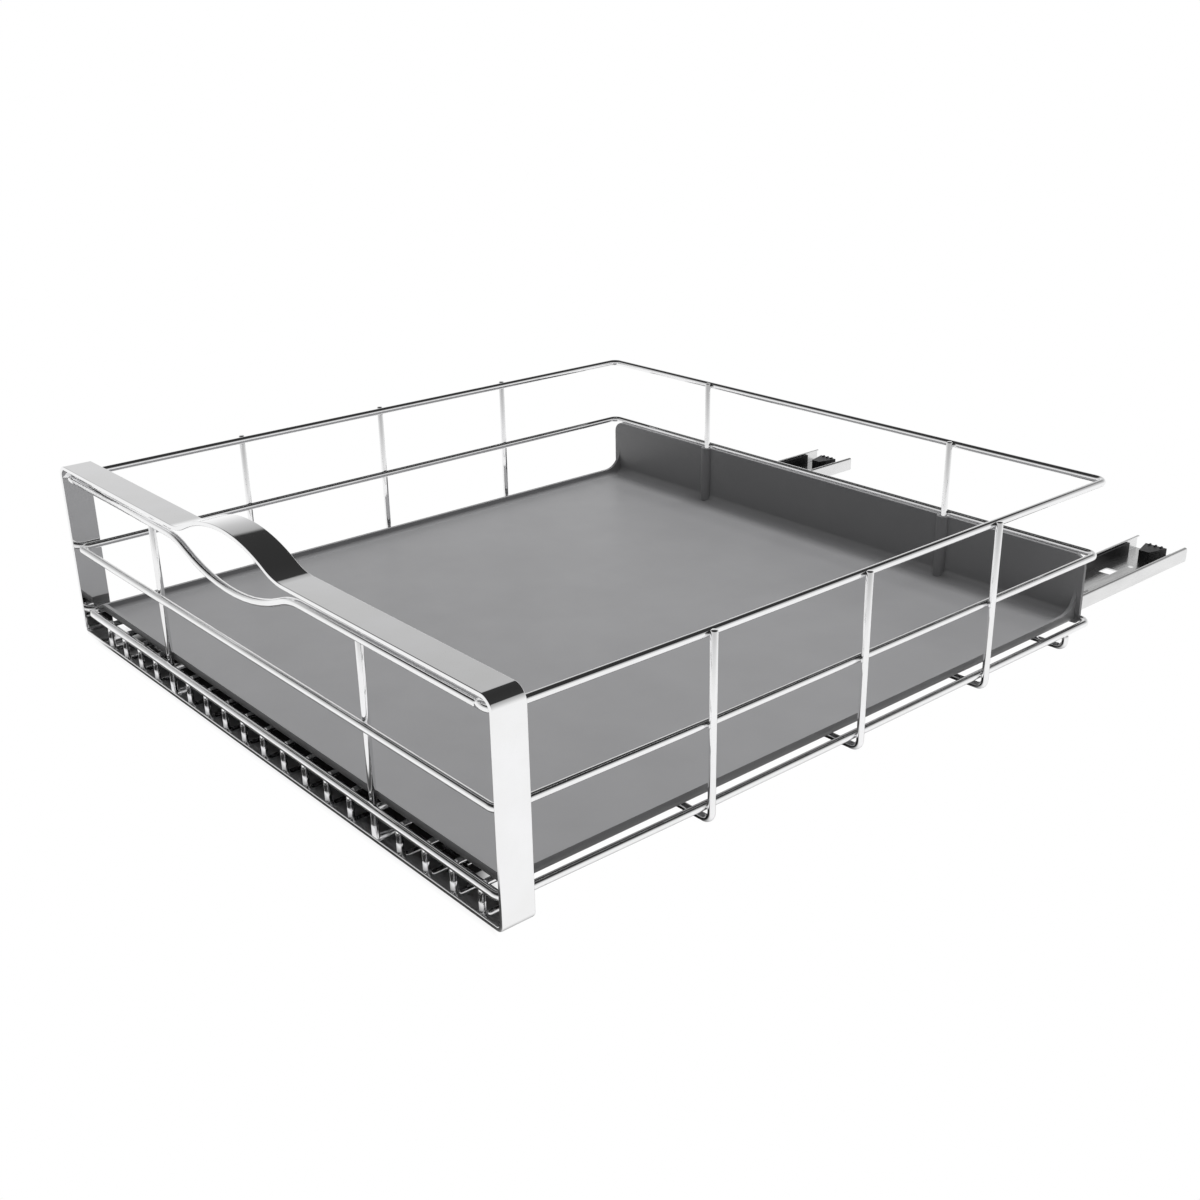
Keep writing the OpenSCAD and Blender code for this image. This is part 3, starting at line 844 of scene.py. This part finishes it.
@dataclass
class Slide:
    """One ball slide with its members, cages, balls, bumper and carrier."""

    side: Side
    hole_r: float = 0.00225
    front_hole: float = 0.035
    rear_hole: float = 0.045
    latch_ahead: float = 0.028
    latch_x: Place = (-0.01225, -0.00225)
    latch_l: float = 0.012
    cut_z: Place = (-0.002, 0.004)
    hole_sides: int = 32

    def holes(self) -> list[bpy.types.Object]:
        """Cutters for the screw holes and the latch hole of the cabinet member."""
        lo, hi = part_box(f"cabinet_member_{self.side.value}")
        x = (lo[0] + hi[0]) / 2
        made = []
        for y in (lo[1] + self.front_hole, hi[1] - self.rear_hole):
            drill = bent_line([Vector((x, y, z)) for z in self.cut_z], [0, 0])
            sweep = Sweep.empty()
            sweep.tube(drill, self.hole_r, Vector((1, 0, 0)), False, self.hole_sides)
            made.append(sweep.piece("cutter"))
        y = hi[1] - self.rear_hole - self.latch_ahead
        x0, x1 = x + self.latch_x[0], x + self.latch_x[1]
        ring = [(x0, y), (x1, y), (x1, y + self.latch_l), (x0, y + self.latch_l)]
        sweep = Sweep.empty()
        sweep.rings([[Vector((a, b, z)) for a, b in ring] for z in self.cut_z], False)
        made.append(sweep.piece("cutter"))
        return made

    def build(self) -> None:
        """Builds the members and dresses the small parts."""
        s = self.side.value
        SlideMember(f"cabinet_member_{s}", Body.CABINET.value, thickness=0.0012, lip=0.0016).build(self.holes)
        middle = Body.MIDDLE.on(self.side)
        SlideMember(f"middle_member_{s}", middle, thickness=0.0011, lip=0.0016, bend_r=0.0012).build()
        basket = Body.BASKET.value
        SlideMember(f"drawer_member_{s}", basket, thickness=0.0012, lip=0.0, upside_down=True).build()
        dress_node(f"rear_bumper_{s}", BUMPER_PLASTIC, width=0.0008)
        dress_node(f"race_strips_{s}", BUMPER_PLASTIC, width=0.0004)
        dress_node(f"carrier_{s}", CARRIER_STEEL, width=0.0004)
        dress_node(f"carrier_screws_{s}", SCREW_STEEL, width=0.0002)
        for cage in ("outer", "inner"):
            dress_node(f"{cage}_cage_{s}", CAGE_STEEL)
            dress_node(f"{cage}_balls_{s}", BALL_STEEL)


# ---------------------------------------------------------------- studio


@dataclass(frozen=True)
class View:
    """The photograph's camera, in degrees, pixels of the frame and millimetres."""

    azimuth: float = 49.5466
    elevation: float = 22.6029
    roll: float = -0.9308
    focal: float = 1440.7256
    centre: Place = (603.621, 611.8862)
    slip: Place = (-25.8218, 34.4814)
    distance: float = 1005.0617
    aim: tuple[float, float, float] = (0.0, 250.0, 60.0)
    frame_px: int = 1200
    sensor: float = 36.0
    clip: Place = (0.05, 50.0)


@dataclass(frozen=True)
class Lamp:
    """One soft square lamp that metal does not show."""

    name: str
    place: tuple[float, float, float]
    size: float
    power: float

    def build(self) -> None:
        """Hangs the lamp so that it faces the basket."""
        data = bpy.data.lights.new(self.name, "AREA")
        data.size, data.energy = self.size, self.power
        lamp = bpy.data.objects.new(self.name, data)
        turn = Vector(self.place).to_track_quat("Z", "Y").to_matrix().to_4x4()
        lamp.matrix_world = Matrix.Translation(self.place) @ turn
        lamp.visible_glossy = False
        bpy.context.scene.collection.objects.link(lamp)


@dataclass
class Studio:
    """Floor, sky, lamp and camera.

    Attributes:
        layout: Places of the basket.
        view: The camera's place and lens.
        lamp: The lamp overhead.
        floor_half: Half the floor's width.
        floor_z: The floor's height.
        painted_shadow_and_floor_tones: The floor's painted shadow tone under the basket and just in front of
            it, and the floor's own colour elsewhere.
        shade_edge: Width that sets the soft borders of the shaded floor.
        shade_lead: How far behind the front the shade starts, as a share of that.
        shade_depth: How far back it reaches.
        cover_height: Greatest height at which something counts as standing over the floor.
        cover_range: Shares of open sky at which the shade is full and gone.
        sky_level: Strength of the light from all round.
        ceiling: Heights of a mirrored direction, and the tone that metal shows there.
    """

    layout: Layout
    view: View = View()
    lamp: Lamp = Lamp("overhead_lamp", (-0.1, 0.5, 2.2), 1.0, 64.0)
    floor_half: float = 6.0
    floor_z: float = -0.0002
    # Painted shadow: the first tone darkens the floor's colour under the basket, the second is the floor's own
    # pale colour.
    painted_shadow_and_floor_tones: Place = (0.1, 0.86)
    shade_edge: float = 0.02
    shade_lead: float = 0.75
    shade_depth: float = 0.13
    cover_height: float = 0.06
    cover_range: Place = (0.7, 0.95)
    sky_level: float = 0.2
    ceiling: tuple[Place, ...] = (
        (0.0, 1.0), (0.12, 0.9), (0.34, 0.62), (0.48, 0.48), (0.52, 0.42), (0.56, 0.04), (1.0, 0.03))

    def build_camera(self) -> None:
        """Sets the camera at the photograph's angle."""
        v = self.view
        a, e, r = (math.radians(x) for x in (v.azimuth, v.elevation, v.roll))
        back = Vector((math.sin(a) * math.cos(e), -math.cos(a) * math.cos(e), math.sin(e)))
        level = Vector((0, 0, 1)).cross(back).normalized()
        rise = back.cross(level)
        right = level * math.cos(r) + rise * math.sin(r)
        up = rise * math.cos(r) - level * math.sin(r)
        aim = Vector(v.aim) / MM_PER_M + Vector((0, self.layout.front_y, self.layout.strap_foot))
        place = aim + (right * -v.slip[0] + up * -v.slip[1] + back * v.distance) / MM_PER_M
        data = bpy.data.cameras.new("camera")
        data.sensor_width, data.lens = v.sensor, v.focal / v.frame_px * v.sensor
        data.shift_x = (v.frame_px / 2 - v.centre[0]) / v.frame_px
        data.shift_y = (v.centre[1] - v.frame_px / 2) / v.frame_px
        data.clip_start, data.clip_end = v.clip
        camera = bpy.data.objects.new("camera", data)
        turn = Matrix((right, up, back)).transposed().to_4x4()
        camera.matrix_world = Matrix.Translation(place) @ turn
        bpy.context.scene.collection.objects.link(camera)
        bpy.context.scene.camera = camera

    def build_floor(self) -> None:
        """Lays a pale floor that shows white, with a soft shadow under the basket that is partly real shade
        and partly painted as a dark floor colour.
        """
        half, z = self.floor_half, self.floor_z
        corners = [Vector((a * half, b * half, z)) for a, b in ((-1, -1), (1, -1), (1, 1), (-1, 1))]
        floor = new_piece("studio_floor", corners, [(0, 1, 2, 3)], False)
        material = bpy.data.materials.new("studio_floor")
        material.use_nodes = True
        tree = material.node_tree
        tree.nodes.clear()
        front, under = self.front_clear(tree), self.under_clear(tree)
        path = add_node(tree, "ShaderNodeLightPath")
        # Where the glow is off, camera and metal see the matte floor, in its real shade and with its painted
        # shadow under the basket.
        clear = {"Is Camera Ray": front, "Is Transmission Ray": front, "Is Glossy Ray": under}
        shares = [self.reckon(tree, "MULTIPLY", path.outputs[ray], mask) for ray, mask in clear.items()]
        # Painted shadow: the matte floor's colour is dark under the basket and just in front of it, and pale
        # elsewhere.
        painted_shadow_tone, pale = self.painted_shadow_and_floor_tones
        tone = add_node(tree, "ShaderNodeMapRange", To_Min=painted_shadow_tone, To_Max=pale)
        tree.links.new(under, tone.inputs["Value"])
        matte = add_node(tree, "ShaderNodeBsdfDiffuse")
        tree.links.new(tone.outputs["Result"], matte.inputs["Color"])
        glow = add_node(tree, "ShaderNodeEmission", Strength=1.0)
        shown = self.mixed(tree, self.most(tree, shares), matte, glow)
        out = add_node(tree, "ShaderNodeOutputMaterial")
        tree.links.new(shown.outputs[0], out.inputs["Surface"])
        floor.data.materials.append(material)

    def front_clear(self, tree: bpy.types.NodeTree) -> Socket:
        """A socket that is 0 on the shaded floor just behind the basket's front, and 1 elsewhere; there the
        camera sees the floor's real shade and its painted shadow colour.

        The shade ends along the line of sight past the right post, and where nothing stands over the floor.

        Args:
            tree: The floor's node tree.

        Returns:
            The socket.
        """
        lay, e = self.layout, self.shade_edge
        away = math.radians(self.view.azimuth)
        past_post = (math.cos(away), math.sin(away))
        corner = past_post[0] * lay.frame_x + past_post[1] * lay.front_y
        cover = add_node(tree, "ShaderNodeAmbientOcclusion", Distance=self.cover_height)
        low, high = self.cover_range
        bare = add_node(tree, "ShaderNodeMapRange", From_Min=low, From_Max=high)
        tree.links.new(cover.outputs["AO"], bare.inputs["Value"])
        return self.most(tree, [
            self.beyond(tree, (-1, 0), lay.frame_x + e, e / 2),
            self.beyond(tree, (0, -1), -lay.front_y - self.shade_lead * e, e / 2),
            self.beyond(tree, (0, 1), lay.front_y + self.shade_depth, e),
            self.beyond(tree, past_post, corner - e / 2, e / 2),
            bare.outputs["Result"]])

    def under_clear(self, tree: bpy.types.NodeTree) -> Socket:
        """A socket that is 0 on the floor under the basket and just in front of it, where the floor's colour
        is painted dark as a shadow, and 1 elsewhere.

        Args:
            tree: The floor's node tree.

        Returns:
            The socket.
        """
        lay, e = self.layout, self.shade_edge
        return self.most(tree, [
            self.beyond(tree, (-1, 0), lay.side_x, e),
            self.beyond(tree, (1, 0), lay.side_x, e),
            self.beyond(tree, (0, -1), -lay.front_y + 2 * e, e / 2),
            self.beyond(tree, (0, 1), lay.back_y, e)])

    @staticmethod
    def reckon(tree: bpy.types.NodeTree, operation: str, a: Socket, b: Socket) -> Socket:
        """A socket that holds the result of one sum on two others."""
        node = add_node(tree, "ShaderNodeMath")
        node.operation = operation
        tree.links.new(a, node.inputs[0])
        tree.links.new(b, node.inputs[1])
        return node.outputs[0]

    @classmethod
    def most(cls, tree: bpy.types.NodeTree, sockets: Sequence[Socket]) -> Socket:
        """A socket that holds the largest of several."""
        socket = sockets[0]
        for other in sockets[1:]:
            socket = cls.reckon(tree, "MAXIMUM", socket, other)
        return socket

    @staticmethod
    def mixed(
            tree: bpy.types.NodeTree, share: Socket, one: bpy.types.Node,
            other: bpy.types.Node) -> bpy.types.Node:
        """A node that mixes two shaders.

        Args:
            tree: The node tree.
            share: Share of the second shader.
            one: The first shader's node.
            other: The second shader's node.

        Returns:
            The mixing node.
        """
        mix = add_node(tree, "ShaderNodeMixShader")
        tree.links.new(share, mix.inputs["Fac"])
        tree.links.new(one.outputs[0], mix.inputs[1])
        tree.links.new(other.outputs[0], mix.inputs[2])
        return mix

    @staticmethod
    def beyond(tree: bpy.types.NodeTree, way: Place, level: float, edge: float) -> Socket:
        """A socket that is 0 on one side of a line on the floor and rises to 1 past it.

        Args:
            tree: The floor's node tree.
            way: The direction across the line, along X and Y.
            level: How far along it the line lies.
            edge: Half the width of the soft border.

        Returns:
            The socket.
        """
        place = add_node(tree, "ShaderNodeTexCoord")
        along = add_node(tree, "ShaderNodeVectorMath")
        along.operation = "DOT_PRODUCT"
        along.inputs[1].default_value = (*way, 0)
        tree.links.new(place.outputs["Object"], along.inputs[0])
        ramp = add_node(tree, "ShaderNodeMapRange", From_Min=level - edge, From_Max=level + edge)
        ramp.interpolation_type = "SMOOTHSTEP"
        tree.links.new(along.outputs["Value"], ramp.inputs["Value"])
        return ramp.outputs["Result"]

    def build_sky(self) -> None:
        """Sets a white backdrop, a plain light level, and a studio ceiling for metal to show."""
        world = bpy.data.worlds.new("studio")
        bpy.context.scene.world = world
        world.use_nodes = True
        tree = world.node_tree
        tree.nodes.clear()
        path = add_node(tree, "ShaderNodeLightPath").outputs
        light = add_node(tree, "ShaderNodeBackground", Color=(1, 1, 1, 1), Strength=self.sky_level)
        white = add_node(tree, "ShaderNodeBackground", Color=(1, 1, 1, 1))
        ceiling = add_node(tree, "ShaderNodeBackground")
        place = add_node(tree, "ShaderNodeTexCoord")
        split = add_node(tree, "ShaderNodeSeparateXYZ")
        ramp = add_node(tree, "ShaderNodeValToRGB")
        stops = ramp.color_ramp.elements
        first, *between, last = [tone for _, tone in self.ceiling]
        stops[0].color, stops[1].color = (first, first, first, 1), (last, last, last, 1)
        for (at, _), tone in zip(self.ceiling[1:-1], between):
            stops.new(at).color = (tone, tone, tone, 1)
        tree.links.new(place.outputs["Generated"], split.inputs[0])
        tree.links.new(split.outputs["Z"], ramp.inputs["Fac"])
        tree.links.new(ramp.outputs["Color"], ceiling.inputs["Color"])
        lit = self.mixed(tree, path["Is Glossy Ray"], light, ceiling)
        seen = self.most(tree, [path["Is Camera Ray"], path["Is Transmission Ray"]])
        out = add_node(tree, "ShaderNodeOutputWorld")
        tree.links.new(self.mixed(tree, seen, lit, white).outputs[0], out.inputs["Surface"])

    def build(self) -> None:
        """Builds the whole studio."""
        bpy.context.scene.view_settings.view_transform = "Standard"
        self.build_camera()
        self.build_floor()
        self.build_sky()
        self.lamp.build()


def main() -> None:
    """Builds the studio and each sub-assembly in turn."""
    logging.basicConfig(level=logging.INFO, format="%(name)s: %(message)s")
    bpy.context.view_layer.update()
    layout = Layout.measure()
    Studio(layout).build()
    FrontFrame(layout).build()
    WireWork(layout).build()
    Liner().build()
    for side in Side:
        Slide(side).build()


if __name__ == "__main__":
    main()
